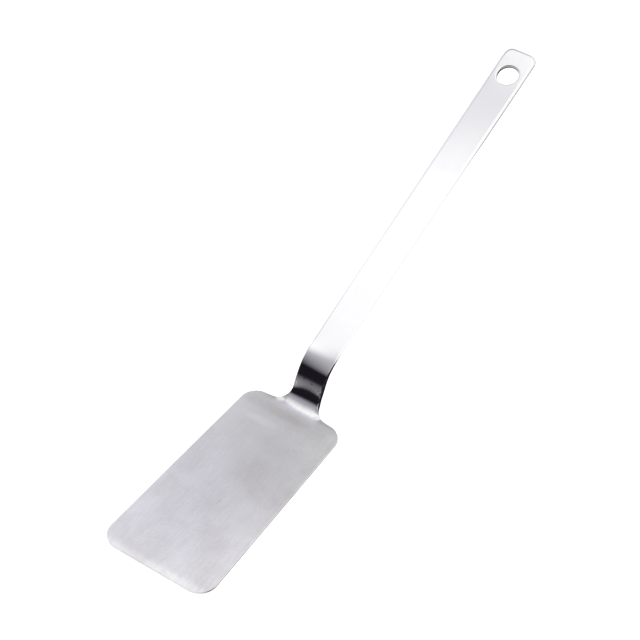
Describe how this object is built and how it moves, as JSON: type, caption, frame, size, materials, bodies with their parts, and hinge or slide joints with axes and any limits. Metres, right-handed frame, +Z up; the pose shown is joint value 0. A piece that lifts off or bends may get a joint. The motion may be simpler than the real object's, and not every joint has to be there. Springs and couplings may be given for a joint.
{
  "type": "pancake turner",
  "caption": "Long-handled pancake turner: a flat, slightly tapered steel blade on an offset flat-bar handle with a hanging hole.",
  "frame": {"origin": "middle of the blade's flat underside, midway between its front edge and the start of the foot bend", "axes": "+Y along the turner from the front edge towards the handle's end, +Z up out of the blade's top face, +X across the blade to the right of someone who holds the handle"},
  "size_m": [0.0666, 0.3435, 0.0955],
  "materials": {
    "blade_steel": "satin, brushed along the blade",
    "weld_steel": "ground flush and blended",
    "handle_steel": "polished, mirror-like at the neck"
  },
  "bodies": {
    "root": {"blade": "blade_steel", "neck_weld": "weld_steel", "handle": "handle_steel"}
  },
  "joints": []
}
